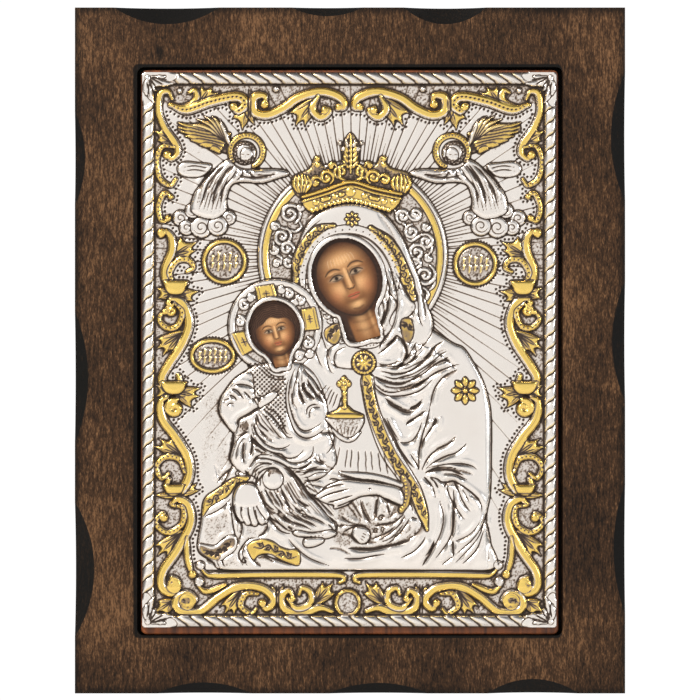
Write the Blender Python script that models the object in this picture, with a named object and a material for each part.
"""An icon panel: a gilded silver relief on an inner board, set in a scooped wooden panel.

The panel hangs on a wall. Its back lies in the plane y = 0 with the origin at the middle of the back,
its front faces -Y, +X is to the viewer's right and +Z is up. Sizes are in metres. The carving alone is
drawn in millimetres on a sheet of DRAWN_SHEET, u to the right and v up from the sheet's middle, and it
stretches with the real sheet.
"""
import math

import bmesh
import bpy
import numpy as np
from mathutils import Matrix, Vector

# Outer panel
PANEL_WIDTH = 0.240
PANEL_HEIGHT = 0.2992
PANEL_DEPTH = 0.022

# The recess and the inner board that lies in it
BOARD_WIDTH = 0.1822
BOARD_HEIGHT = 0.2465
BOARD_DEPTH = 0.0065
BOARD_CORNER = 0.0025
BOARD_GAP_LEFT = 0.0016
BOARD_GAP_RIGHT = 0.0019
BOARD_GAP_TOP = 0.0011
BOARD_GAP_BOTTOM = 0.0004
RECESS_DEPTH = 0.0085
RECESS_CORNER = 0.003
RECESS_DROP = 0.0004
LAY_GAP = 0.0003

# The metal sheet, and what it leaves bare of the board
SHEET_BASE = 0.0012
MARGIN_LEFT = 0.0007
MARGIN_RIGHT = 0.0010
MARGIN_TOP = 0.0012
MARGIN_BOTTOM = 0.0033
SHEET_STEP = 0.001
SHEET_TRIANGLES = 7600

# The painted plates behind the two openings
PLATE_DEPTH = 0.0009
PLATE_CLEARANCE = 0.0003
OPENING_SIDES = 36

# Drawing units
DRAWN_SHEET = (180.5, 242.0)
DRAWN_RISE = 0.001
ROPE_WIDTH = 5.2
ROPE_PITCH = 5.8
ROPE_RISE = 1.5

# Scoops out of the front edges: side, place along the side from the panel's middle, chord, bite
SCOOPS = (
    ("top", -0.080, 0.046, 0.0073),
    ("top", -0.010, 0.031, 0.0038),
    ("top", 0.0415, 0.036, 0.0073),
    ("bottom", -0.0637, 0.0415, 0.0048),
    ("bottom", 0.0125, 0.0438, 0.0046),
    ("bottom", 0.0798, 0.0399, 0.0063),
    ("left", 0.0838, 0.0405, 0.0045),
    ("left", -0.0118, 0.0576, 0.0058),
    ("left", -0.0955, 0.059, 0.0085),
    ("right", 0.0932, 0.0565, 0.0062),
    ("right", 0.004, 0.052, 0.0057),
    ("right", -0.0865, 0.057, 0.0051),
)
SCOOP_SIDES = 128

# Openings for the painted heads: centre, half width, half height, lean, neck's end, neck's half width
MOTHER_OPENING = ((-1.0, 31.5), 15.2, 17.6, 22.0, (7.0, 4.0), 7.6)
CHILD_OPENING = ((-32.6, 9.4), 11.2, 12.2, 15.0, (-29.6, -7.6), 4.6)

# Layers from the back forwards, and the rectangles (left, right, bottom, top), from the sizes above
RECESS_FLOOR = PANEL_DEPTH - RECESS_DEPTH
BOARD_BACK = RECESS_FLOOR + LAY_GAP
SHEET_BACK = BOARD_BACK + BOARD_DEPTH + LAY_GAP
SHEET_GROUND = SHEET_BACK + SHEET_BASE
RECESS_WIDTH = BOARD_GAP_LEFT + BOARD_WIDTH + BOARD_GAP_RIGHT
RECESS_HEIGHT = BOARD_GAP_BOTTOM + BOARD_HEIGHT + BOARD_GAP_TOP
RECESS = (
    -RECESS_WIDTH / 2,
    RECESS_WIDTH / 2,
    -RECESS_HEIGHT / 2 - RECESS_DROP,
    RECESS_HEIGHT / 2 - RECESS_DROP,
)
BOARD = (
    RECESS[0] + BOARD_GAP_LEFT,
    RECESS[1] - BOARD_GAP_RIGHT,
    RECESS[2] + BOARD_GAP_BOTTOM,
    RECESS[3] - BOARD_GAP_TOP,
)
SHEET = (
    BOARD[0] + MARGIN_LEFT,
    BOARD[1] - MARGIN_RIGHT,
    BOARD[2] + MARGIN_BOTTOM,
    BOARD[3] - MARGIN_TOP,
)

# Scrolls of the border's left half, as half width and the points of their middle lines
SIDE_SCROLLS = (
    (1.5, (-77.2, 109.5), (-79, 112.6), (-82.4, 111.5), (-83.1, 104), (-80.5, 97), (-76, 90.5),
     (-74.8, 86), (-77.6, 83.2), (-79.6, 85)),
    (1.2, (-76.5, 88.3), (-81.6, 88.6), (-84, 82.5), (-82.6, 75), (-78, 71.6), (-75.6, 74.4)),
    (1.2, (-77, 66.5), (-80.6, 68.3), (-83.3, 62.5), (-82, 56.4), (-79, 56.6)),
    (1.7, (-82.3, 49.5), (-80.4, 51.7), (-77.6, 49), (-77.4, 43), (-80.4, 35), (-79.3, 28.6),
     (-75, 26), (-71, 29)),
    (1.2, (-76, 28.6), (-78.3, 33.5), (-75, 38.8), (-69.8, 39), (-68, 35.8), (-70.8, 34)),
    (1.9, (-78.8, 20.4), (-77.3, 22.4), (-72.6, 20), (-69.8, 12), (-72.6, 3), (-78.6, -6.4),
     (-81.7, -12.6), (-78.6, -16.8), (-74.2, -14.4), (-74.4, -11.4)),
    (1.2, (-76.6, 20.4), (-73, 16.4), (-75, 10.4), (-79.6, 9.6), (-83, 13.4), (-80.6, 17)),
    (2.0, (-79.4, -20.6), (-82.4, -23), (-81.2, -30.5), (-75.6, -38), (-70.4, -47), (-70, -55.6),
     (-74, -61.6), (-79.4, -60), (-78.8, -56.6)),
    (1.2, (-71.9, -53.5), (-74.4, -47.6), (-80.4, -46.8), (-84.2, -51), (-82, -56), (-78.6, -54)),
    (1.9, (-77.6, -67.4), (-74.6, -65), (-70.2, -68), (-69.2, -76), (-75, -87.4), (-81.4, -97),
     (-81.4, -104), (-76.4, -105.8), (-75, -101), (-77.4, -99.4)),
    (1.2, (-77.2, -68), (-72.6, -69), (-73, -76), (-79.4, -79.7), (-84.6, -75.4), (-81.4, -71.2),
     (-80, -73.6)),
    (0.9, (-70.4, -87), (-71.2, -94), (-69.2, -98.2)),
)
TOP_SCROLLS = (
    (1.3, (-69.8, 112.2), (-67.4, 113.2), (-66.6, 110), (-69.5, 106.8), (-75, 105.6)),
    (2.1, (-78, 106.8), (-71, 104.7), (-60, 108.3), (-49, 110.4), (-45.4, 107.4), (-48.4, 104.2),
     (-51, 106.4)),
    (1.9, (-36.6, 107.6), (-37, 110.8), (-41.6, 110), (-41.4, 104), (-36, 102.4), (-29, 105.2),
     (-22, 110), (-12, 112.6), (-4, 110), (-2.2, 106), (-5, 105.2)),
    (1.6, (-13.6, 110.4), (-16, 105), (-12.6, 101.4), (-8.8, 104), (-11, 105.6)),
)
BOTTOM_SCROLLS = (
    (1.7, (-70.6, -110.6), (-67.2, -109), (-71, -106.3), (-75.7, -109.6), (-73.6, -114), (-65, -114),
     (-57, -107.8), (-48, -103.1), (-38, -104), (-33, -109), (-36, -113), (-38.6, -110.2)),
    (1.2, (-39.8, -106.5), (-45, -106.4), (-47.4, -111.6), (-43, -115), (-40.6, -113)),
    (1.7, (-24.6, -108), (-26.4, -105), (-29.8, -108), (-28, -113), (-21, -115), (-13, -112.6),
     (-7.6, -114)),
    (1.3, (-27, -108.6), (-23, -112.6), (-17.6, -111), (-16.8, -106), (-20.6, -103.8), (-22, -106.6)),
    (1.1, (-64.4, -95.6), (-60, -98.3), (-35, -97.9), (-6, -98), (-2.3, -100.2), (-4.2, -101.4)),
)

# Leaves of the border's left half: root, tips, half width
LEAVES = (
    ((-76, 89.5), ((-85, 95.3), (-82.5, 97.3), (-83, 91)), 1.2),
    ((-77.4, 41), ((-66.8, 47.6), (-68, 44.4), (-68.6, 41)), 1.3),
    ((-76.4, 24.6), ((-65.2, 25), (-68.4, 21.6), (-84.8, 26.2)), 1.0),
    ((-73, 8), ((-84.8, -0.4), (-83.4, 2.8), (-81.4, 6.4)), 1.4),
    ((-76.4, -18.5), ((-66, -18.2), (-68.4, -22.4), (-84.2, -17.2)), 1.0),
    ((-72, -46.6), ((-84.6, -39.6), (-82.4, -43.4), (-79, -38.8)), 1.3),
    ((-74.6, -63.2), ((-66, -61.2), (-67.2, -58.6), (-84.6, -63.6)), 1.0),
    ((-73, -79.6), ((-84.6, -88.6), (-82.6, -83.4), (-81, -88.8)), 1.4),
    ((-77, -109.6), ((-84.8, -114.6), (-83.4, -110), (-79.6, -115)), 1.0),
    ((-44.4, 105), ((-45.8, 97.6), (-42.8, 99), (-50, 101.6)), 1.3),
    ((-15, 110), ((-24.4, 99.8), (-20.6, 99.6), (-25, 103.6)), 1.4),
    ((-66, 107), ((-61.4, 114.2), (-58.4, 113.6)), 0.9),
    ((-47, -105), ((-54.6, -114.8), (-51.4, -114.6), (-55, -111)), 1.2),
    ((-15, -110.6), ((-7.6, -102), (-6.8, -106), (-12, -102)), 1.2),
    ((-31.3, -109), ((-33.4, -103.4), (-29.6, -103)), 0.8),
)

# Outlines of the raised figures, and the lines of their folds
MOTHER_OUTLINE = (
    (1, 62.5), (12, 60.4), (21, 51.5), (27.5, 35), (30, 20), (34, 9.5), (45, 3), (55, -8), (61, -26),
    (61, -50), (58.6, -72), (61, -96), (20, -96.2), (-25, -96.2), (-54, -96), (-60, -92), (-65.5, -87),
    (-64.5, -75), (-61.5, -60), (-56, -53), (-50, -49.5), (-44, -44), (-40, -20), (-20, -4), (-14, 15),
    (-24, 24), (-24, 38), (-17, 51), (-8, 60),
)
CHILD_OUTLINE = (
    (-40, -6.5), (-48, -10), (-53.5, -17), (-56.5, -26), (-50.4, -36), (-52, -46), (-47, -52),
    (-41, -52), (-40, -60), (-36, -69), (-28, -78), (-18, -80.5), (-8, -79.5), (-6, -76), (-14, -69),
    (-21, -58), (-10, -55), (-6, -48), (-9, -38), (-9.5, -26), (-13, -14), (-19, -7.5), (-25, -5.6),
)
HAND_OUTLINES = (
    ((-44, -58), (-39.6, -62), (-38, -69), (-35, -75), (-40, -76.4), (-46, -75), (-50, -69), (-50.4, -62)),
    ((-15, -62), (-6, -57.6), (2, -56.6), (12, -58), (20.6, -60), (20.6, -67), (12, -63.6), (4, -64.4),
     (-4, -67.6), (-12, -65.4)),
)
FOLDS = (
    ((11, -8.6), (20, -10), (30, -6), (39, 3)),
    ((11, -11), (20, -14), (32, -11), (44, 0.5)),
    ((11, -15), (22, -19.6), (34, -14), (49, -6.2)),
    ((13, -20), (22, -26), (30, -25), (33, -21)),
    ((31, -54), (31, -44), (37, -33), (39, -18)),
    ((32, -54), (36, -44), (47, -38), (56, -34)),
    ((32, -54), (40, -47), (50, -43), (58, -42)),
    ((32, -54), (42, -50.4), (52, -51), (58, -56)),
    ((32, -55), (42, -56), (52, -60), (58, -68)),
    ((32, -55), (38, -60), (46, -70), (52, -76)),
    ((33, -56), (36, -66), (38, -80), (31, -96)),
    ((45, -64), (45, -90), (56, -82), (61, -68)),
    ((22, -90), (32, -83), (34, -76)),
    ((-8, -86), (2, -90.8), (16, -89), (22, -86)),
    ((-8, -82), (4, -86.6), (20, -86), (33, -80)),
    ((-27, -82), (-18, -90), (-6, -94.4)),
    ((-50.6, -66), (-49, -80), (-48, -94)),
    ((-65, -85), (-58, -86), (-51, -82)),
    ((-52, -95), (-54, -91), (-49, -88)),
    ((-28, -10), (-25, -24), (-25, -35), (-14, -38)),
    ((-20, -8), (-20, -24), (-17, -33), (-6, -38)),
    ((-40, -27), (-38, -36), (-29, -39), (-22, -37)),
    ((-43, -33), (-38, -42), (-28, -46.6), (-16, -42)),
    ((-41, -50), (-33, -47.6), (-23, -54), (-17, -64), (-7, -74)),
    ((-38, -62), (-30, -66), (-22, -72), (-12, -79)),
    ((-30, -60), (-26, -66), (-20, -72)),
    ((-55, -30), (-48, -30.6), (-38, -24.6)),
)

# Gilded bands laid over the robes
ROBE_BANDS = (
    (2.0, (7, -10.5), (9.4, -20), (12.6, -31), (17.4, -42), (23.6, -53), (29.4, -63), (32, -71), (33, -77)),
    (1.7, (-62.6, -70), (-58, -64.6), (-52, -60), (-45.6, -54.6)),
    (2.0, (-44, -86), (-37, -84), (-28, -87), (-22, -92)),
    (1.4, (23.4, -56), (24.4, -62), (23.4, -69)),
    (1.3, (-22.6, 24), (-22, 33), (-17.6, 46), (-9, 53.4)),
    (1.3, (9, 52.6), (17.4, 46), (23.6, 35), (27.6, 24.4)),
)


def clear_scene():
    for item in list(bpy.data.objects):
        bpy.data.objects.remove(item, do_unlink=True)


def make_collection(name):
    group = bpy.data.collections.new(name)
    bpy.context.scene.collection.children.link(group)
    return group


def make_material(name, colour, roughness, metallic):
    material = bpy.data.materials.new(name)
    material.use_nodes = True
    shader = material.node_tree.nodes["Principled BSDF"]
    shader.inputs["Base Color"].default_value = (*colour, 1.0)
    shader.inputs["Roughness"].default_value = roughness
    shader.inputs["Metallic"].default_value = metallic
    return material


def add_object(name, shape, collection, material=None):
    """A new object from a bmesh, which is used up."""
    mesh = bpy.data.meshes.new(name)
    shape.to_mesh(mesh)
    shape.free()
    if material:
        mesh.materials.append(material)
    item = bpy.data.objects.new(name, mesh)
    collection.objects.link(item)
    return item


def cut_with(item, cutter):
    cut = item.modifiers.new(cutter.name, "BOOLEAN")
    cut.operation = "DIFFERENCE"
    cut.solver = "EXACT"
    cut.object = cutter
    cutter.display_type = "WIRE"
    cutter.hide_render = True


def block(rectangle, back, front, corner=0.0):
    """A block over a rectangle (left, right, bottom, top), with its four edges along Y rounded."""
    left, right, bottom, top = rectangle
    shape = bmesh.new()
    bmesh.ops.create_cube(shape, size=1.0)
    size = Vector((right - left, front - back, top - bottom))
    middle = Vector(((left + right) / 2, -(back + front) / 2, (bottom + top) / 2))
    bmesh.ops.scale(shape, vec=size, verts=shape.verts)
    bmesh.ops.translate(shape, vec=middle, verts=shape.verts)
    if corner:
        upright = [e for e in shape.edges if abs((e.verts[0].co - e.verts[1].co).y) > 0.5 * (front - back)]
        bmesh.ops.bevel(shape, geom=upright, offset=corner, segments=5, profile=0.5, affect="EDGES")
    return shape


def scoop_cutter(side, along, chord, bite):
    """A drum laid across the front arris of one side, sloping from the front face to the side face."""
    slope_bite = bite / math.sqrt(2)
    radius = ((chord / 2) ** 2 + slope_bite**2) / (2 * slope_bite)
    shape = bmesh.new()
    bmesh.ops.create_cone(
        shape, cap_ends=True, segments=SCOOP_SIDES, radius1=radius, radius2=radius, depth=4 * bite + 0.02
    )
    turn, half_size = {
        "top": (0.0, PANEL_HEIGHT / 2),
        "right": (math.pi / 2, PANEL_WIDTH / 2),
        "bottom": (math.pi, PANEL_HEIGHT / 2),
        "left": (-math.pi / 2, PANEL_WIDTH / 2),
    }[side]
    # On the top side the drum's axis runs up and back; the other sides turn that about Y
    lean = Matrix.Rotation(math.radians(-45), 4, "X")
    out = Vector((0.0, -1.0, 1.0)).normalized()
    middle = Vector((0.0, -PANEL_DEPTH, half_size)) + out * (radius - slope_bite)
    place = Matrix.Rotation(turn, 4, "Y") @ Matrix.Translation(middle) @ lean
    bmesh.ops.transform(shape, matrix=place, verts=shape.verts)
    slide = Vector((along, 0.0, 0.0)) if side in ("top", "bottom") else Vector((0.0, 0.0, along))
    bmesh.ops.translate(shape, vec=slide, verts=shape.verts)
    return shape


def smooth_path(points, closed=False, steps=5):
    """A smooth line through the points: Catmull-Rom arcs, each in a few steps."""
    knots = np.array(points, float)
    if closed:
        knots = np.vstack([knots[-1:], knots, knots[:2]])
    else:
        knots = np.vstack([2 * knots[0] - knots[1], knots, 2 * knots[-1] - knots[-2]])
    t = np.linspace(0, 1, steps, endpoint=False)[:, None]
    arcs = [
        0.5 * (2 * b + (c - a) * t + (2 * a - 5 * b + 4 * c - d) * t**2 + (3 * b - a - 3 * c + d) * t**3)
        for a, b, c, d in zip(knots, knots[1:], knots[2:], knots[3:])
    ]
    return np.vstack(arcs + ([] if closed else [knots[-2:-1]]))


def opening_outline(centre, half_width, half_height, lean, neck_end, neck_half_width, grow=0.0):
    """An egg-shaped opening with its neck, as points round its middle."""
    neck = np.subtract(neck_end, centre)
    neck_length = np.hypot(*neck)
    outline = []
    for turn in np.linspace(0, 2 * math.pi, OPENING_SIDES, endpoint=False):
        direction = np.array((math.cos(turn), math.sin(turn)))
        leaned = turn - math.radians(lean)
        reach = 1 / math.hypot(math.cos(leaned) / half_width, math.sin(leaned) / half_height)
        forward = direction @ neck / neck_length
        sideways = abs(direction[0] * neck[1] - direction[1] * neck[0]) / neck_length
        if forward > 0:
            reach = max(reach, min(neck_length / forward, neck_half_width / max(sideways, 1e-6)))
        outline.append(np.array(centre) + direction * (reach + grow))
    return np.array(outline)


def mirrored(points):
    return [(-u, v) for u, v in points]


class Relief:
    """The carving: heights over the sheet's ground, in drawing units, on a grid of points."""

    def __init__(self, columns, rows):
        self.u = np.linspace(-DRAWN_SHEET[0] / 2, DRAWN_SHEET[0] / 2, columns)
        self.v = np.linspace(-DRAWN_SHEET[1] / 2, DRAWN_SHEET[1] / 2, rows)
        self.height = np.zeros((rows, columns))

    def window(self, points, reach):
        """The part of the grid within reach of the points."""
        low = np.min(points, axis=0) - reach
        high = np.max(points, axis=0) + reach
        columns = slice(*np.searchsorted(self.u, (low[0], high[0])))
        rows = slice(*np.searchsorted(self.v, (low[1], high[1])))
        return rows, columns

    def distance(self, path, view):
        """How far each point of the window is from the path, and how far along it the nearest place lies."""
        rows, columns = view
        u, v = self.u[columns][None, :], self.v[rows][:, None]
        nearest = np.full((v.size, u.size), np.inf)
        along = np.zeros_like(nearest)
        pieces = len(path) - 1
        for k in range(pieces):
            (u0, v0), (du, dv) = path[k], path[k + 1] - path[k]
            share = np.clip(((u - u0) * du + (v - v0) * dv) / max(du * du + dv * dv, 1e-9), 0, 1)
            gap = np.hypot(u - u0 - share * du, v - v0 - share * dv)
            closer = gap < nearest
            nearest = np.where(closer, gap, nearest)
            along = np.where(closer, (k + share) / pieces, along)
        return nearest, along

    def inside(self, outline, view):
        """Which points of the window the closed outline holds."""
        rows, columns = view
        u, v = self.u[columns][None, :], self.v[rows][:, None]
        held = np.zeros((v.size, u.size), bool)
        for (u0, v0), (u1, v1) in zip(outline, np.roll(outline, -1, axis=0)):
            if v0 != v1:
                held ^= ((v < v0) != (v < v1)) & (u < u0 + (v - v0) * (u1 - u0) / (v1 - v0))
        return held

    def band(self, points, half_width, rise, base=0.0, tapered=True):
        """A rounded ribbon along a line, narrow at its ends."""
        path = smooth_path(points)
        view = self.window(path, half_width)
        gap, along = self.distance(path, view)
        width = half_width * (0.55 + 0.45 * np.sin(math.pi * along)) if tapered else half_width
        dome = np.sqrt(np.clip(1 - (gap / width) ** 2, 0, 1))
        raised = np.where(dome > 0, base + rise * dome, -np.inf)
        self.height[view] = np.maximum(self.height[view], raised)

    def figure(self, outline, low, high, shoulder):
        """A raised form: low at its outline, rounded up to its height within the shoulder."""
        path = smooth_path(outline, closed=True)
        view = self.window(path, 0)
        held = self.inside(path, view)
        gap, _ = self.distance(np.vstack([path, path[:1]]), view)
        climb = np.sqrt(1 - (1 - np.clip(gap / shoulder, 0, 1)) ** 2)
        self.height[view] = np.where(held, low + (high - low) * climb, self.height[view])

    def fold(self, points, half_width=1.4, depth=0.85):
        """A valley in cloth between two soft ridges."""
        path = smooth_path(points)
        view = self.window(path, 3 * half_width)
        gap, along = self.distance(path, view)
        fade = np.sqrt(np.sin(math.pi * np.clip(along, 0.02, 0.98)))
        valley = -np.exp(-((gap / half_width) ** 2)) + 0.7 * np.exp(-((gap / half_width - 1.6) ** 2))
        self.height[view] += depth * fade * valley * (self.height[view] > 0.5)

    def ring(self, centre, radius, half_width, rise, base=0.0):
        turns = np.linspace(0, 2 * math.pi, 49)
        circle = np.column_stack([centre[0] + radius * np.cos(turns), centre[1] + radius * np.sin(turns)])
        view = self.window(circle, half_width)
        gap, _ = self.distance(circle, view)
        dome = np.sqrt(np.clip(1 - (gap / half_width) ** 2, 0, 1))
        self.height[view] = np.maximum(self.height[view], np.where(dome > 0, base + rise * dome, 0))

    def disc(self, centre, radius, rise):
        turns = np.linspace(0, 2 * math.pi, 24, endpoint=False)
        circle = np.column_stack([centre[0] + radius * np.cos(turns), centre[1] + radius * np.sin(turns)])
        self.figure(circle, 0.6 * rise, rise, radius)

    def rope(self):
        """The twisted rope along the sheet's edge."""
        u, v = np.meshgrid(self.u, self.v)
        from_side = DRAWN_SHEET[0] / 2 - np.abs(u)
        from_end = DRAWN_SHEET[1] / 2 - np.abs(v)
        upright = from_side < from_end
        across = np.where(upright, from_side, from_end)
        twist = np.where(upright, v - u, v + u) / ROPE_PITCH
        strand = np.sqrt(np.clip(1 - (2 * (twist % 1.0) - 1) ** 2, 0.05, 1))
        section = np.sqrt(np.clip(1 - (2 * across / ROPE_WIDTH - 1) ** 2, 0.05, 1))
        edge = across < ROPE_WIDTH
        self.height = np.where(edge, ROPE_RISE * (0.45 + 0.55 * strand) * section, self.height)


def draw_border(relief):
    for turned in (False, True):
        side = mirrored if turned else list
        for half_width, *points in SIDE_SCROLLS + TOP_SCROLLS + BOTTOM_SCROLLS:
            relief.band(side(points), half_width, 0.9 + 0.35 * half_width)
        for root, tips, half_width in LEAVES:
            for tip in tips:
                middle = (0.5 * (root[0] + tip[0]), 0.5 * (root[1] + tip[1]) + 0.8)
                relief.band(side([root, middle, tip]), half_width, 1.1)
    relief.ring((-1, -110.4), 5.0, 0.8, 1.0)


def draw_halo_and_crown(relief):
    turns = np.linspace(math.radians(-38), math.radians(218), 40)
    ring = [(1.5 + 39.7 * math.cos(t), 41 + 39.7 * math.sin(t)) for t in turns]
    relief.band(ring, 2.0, 1.1, tapered=False)
    for lift, half_width in ((64.5, 1.3), (67.6, 1.3), (71.4, 1.0)):
        relief.band([(-19, lift - 3.6), (-9, lift - 0.8), (1, lift), (11, lift - 0.8), (21, lift - 3.6)],
                    half_width, 2.0, tapered=False)
    for reach, peak in ((0, 92), (14.5, 84), (24.5, 75)):
        for side in (-1, 1) if reach else (1,):
            foot = (0.5 + side * reach * 0.8, 71.6 - 0.12 * reach)
            relief.band([foot, (0.5 + side * reach, peak)], 2.3, 1.6)
    for side in (-1, 1):
        relief.band([(0.5 + side * 2, 77), (0.5 + side * 6.5, 80), (0.5 + side * 10, 75), (0.5 + side * 15, 78),
                     (0.5 + side * 18, 72), (0.5 + side * 23, 73)], 1.5, 1.5)


def draw_child_halo(relief):
    relief.disc((-32, 10.4), 20.3, 1.4)
    relief.ring((-32, 10.4), 18.8, 1.3, 0.8, base=1.3)


def draw_angels(relief):
    for side in (list, mirrored):
        relief.figure(side([(-49, 83), (-54, 82), (-62, 76), (-69, 68), (-68, 60), (-60, 57), (-52, 60),
                            (-53, 68), (-50, 73), (-38, 73.4), (-26, 75), (-30, 77.6), (-40, 79)]),
                      0.6, 2.0, 3.0)
        relief.figure(side([(-52, 85), (-50.6, 93), (-55, 98), (-60, 102), (-62, 97), (-74, 98), (-74, 94.6),
                            (-66, 93), (-62, 88), (-60, 84)]), 0.5, 1.5, 2.5)
        relief.figure(side([(-76, 57), (-72, 61), (-66, 59), (-58, 61), (-51.6, 59), (-53, 53), (-60, 51),
                            (-70, 51), (-75, 53)]), 0.5, 1.9, 3.0)
        centre = side([(-45, 86)])[0]
        relief.disc(centre, 8.2, 1.0)
        relief.disc(side([(-45.6, 85.4)])[0], 4.2, 2.4)


def draw_figures(relief):
    relief.figure(MOTHER_OUTLINE, 0.7, 2.1, 7.0)
    draw_child_halo(relief)
    relief.figure(CHILD_OUTLINE, 1.9, 3.0, 5.0)
    for points in FOLDS:
        relief.fold(points)
    for outline in HAND_OUTLINES:
        relief.figure(outline, 2.0, 3.3, 4.0)
    relief.disc((-33, -56.5), 4.2, 3.4)
    for half_width, *points in ROBE_BANDS:
        relief.band(points, half_width, 0.7, base=2.1, tapered=False)
    relief.disc((6.4, -5.8), 4.9, 3.2)
    relief.disc((50.6, -17.6), 5.6, 2.9)
    relief.disc((1.2, 56.6), 4.2, 2.9)
    relief.band([(-2, -13), (-2, -25)], 1.2, 3.2)
    relief.band([(-8.4, -28), (5, -28)], 1.3, 3.2, tapered=False)
    relief.figure([(-8.6, -29), (4.6, -29), (2, -36), (-3, -38.6), (-7, -35)], 2.4, 3.2, 3.0)


def draw_medallions(relief):
    for centre in ((-54.5, 38.5), (55, 37.5)):
        relief.ring(centre, 8.6, 1.0, 1.0)
    relief.ring((-59.6, -2.6), 8.4, 1.0, 1.0)


def draw_openings_rim(relief):
    for head in (MOTHER_OPENING, CHILD_OPENING):
        rim = opening_outline(*head, grow=1.1)
        relief.band(np.vstack([rim, rim[:1]]), 1.0, 0.6, base=1.5, tapered=False)


def sheet_point(u, v, y):
    """A place of the drawing on the real sheet."""
    x = SHEET[0] + (u / DRAWN_SHEET[0] + 0.5) * (SHEET[1] - SHEET[0])
    z = SHEET[2] + (v / DRAWN_SHEET[1] + 0.5) * (SHEET[3] - SHEET[2])
    return Vector((x, y, z))


def relief_sheet():
    """The sheet with its carving as one closed body with a flat back."""
    columns = round(DRAWN_SHEET[0] * DRAWN_RISE / SHEET_STEP)
    rows = round(DRAWN_SHEET[1] * DRAWN_RISE / SHEET_STEP)
    relief = Relief(columns + 1, rows + 1)
    draw_halo_and_crown(relief)
    draw_angels(relief)
    draw_medallions(relief)
    draw_figures(relief)
    draw_openings_rim(relief)
    draw_border(relief)
    relief.rope()
    shape = bmesh.new()
    bmesh.ops.create_grid(shape, x_segments=columns, y_segments=rows, size=0.5)
    for vert in shape.verts:
        column = round((vert.co.x + 0.5) * columns)
        row = round((vert.co.y + 0.5) * rows)
        lift = SHEET_GROUND + DRAWN_RISE * relief.height[row, column]
        vert.co = sheet_point(relief.u[column], relief.v[row], -lift)
    border = [edge for edge in shape.edges if edge.is_boundary]
    walls = bmesh.ops.extrude_edge_only(shape, edges=border)["geom"]
    for vert in (item for item in walls if isinstance(item, bmesh.types.BMVert)):
        vert.co.y = -SHEET_BACK
    back = [item for item in walls if isinstance(item, bmesh.types.BMEdge) and item.is_boundary]
    bmesh.ops.contextual_create(shape, geom=back)
    bmesh.ops.recalc_face_normals(shape, faces=shape.faces)
    return shape


def opening_prism(head, grow, back, front):
    """A straight block with the outline of one head's opening."""
    shape = bmesh.new()
    corners = [shape.verts.new(sheet_point(u, v, -back)) for u, v in opening_outline(*head, grow=grow)]
    face = shape.faces.new(corners)
    raised = bmesh.ops.extrude_face_region(shape, geom=[face])["geom"]
    for vert in (item for item in raised if isinstance(item, bmesh.types.BMVert)):
        vert.co.y = -front
    bmesh.ops.recalc_face_normals(shape, faces=shape.faces)
    return shape


def build_panel(parts, cutters):
    wood = make_material("dark_stained_wood", (0.075, 0.036, 0.018), 0.6, 0.0)
    half_width, half_height = PANEL_WIDTH / 2, PANEL_HEIGHT / 2
    outline = (-half_width, half_width, -half_height, half_height)
    panel = add_object("panel", block(outline, 0.0, PANEL_DEPTH), parts, wood)
    pocket = block(RECESS, RECESS_FLOOR, 2 * PANEL_DEPTH, RECESS_CORNER)
    cut_with(panel, add_object("recess_cutter", pocket, cutters))
    for number, scoop in enumerate(SCOOPS):
        cut_with(panel, add_object(f"scoop_cutter_{number}", scoop_cutter(*scoop), cutters))


def build_inner_board(parts):
    wood = make_material("red_brown_wood", (0.20, 0.065, 0.018), 0.5, 0.0)
    shape = block(BOARD, BOARD_BACK, BOARD_BACK + BOARD_DEPTH, BOARD_CORNER)
    add_object("inner_board", shape, parts, wood)


def build_cover(parts, cutters):
    silver = make_material("gilded_silver", (0.80, 0.74, 0.62), 0.3, 1.0)
    shape = relief_sheet()
    full = sum(len(face.verts) - 2 for face in shape.faces)
    cover = add_object("cover", shape, parts, silver)
    thin = cover.modifiers.new("fewer_faces", "DECIMATE")
    thin.ratio = SHEET_TRIANGLES / full
    for name, head in (("mother", MOTHER_OPENING), ("child", CHILD_OPENING)):
        cutter = opening_prism(head, 0.0, SHEET_BACK - SHEET_BASE, 2 * PANEL_DEPTH)
        cut_with(cover, add_object(f"{name}_opening_cutter", cutter, cutters))


def build_paintings(parts):
    paint = make_material("painted_brown", (0.30, 0.12, 0.04), 0.5, 0.0)
    inset = -PLATE_CLEARANCE / DRAWN_RISE
    for name, head in (("mother", MOTHER_OPENING), ("child", CHILD_OPENING)):
        plate = opening_prism(head, inset, SHEET_BACK, SHEET_BACK + PLATE_DEPTH)
        add_object(f"{name}_painting", plate, parts, paint)


def main():
    clear_scene()
    parts = make_collection("icon_panel")
    cutters = make_collection("cutters")
    build_panel(parts, cutters)
    build_inner_board(parts)
    build_cover(parts, cutters)
    build_paintings(parts)


main()
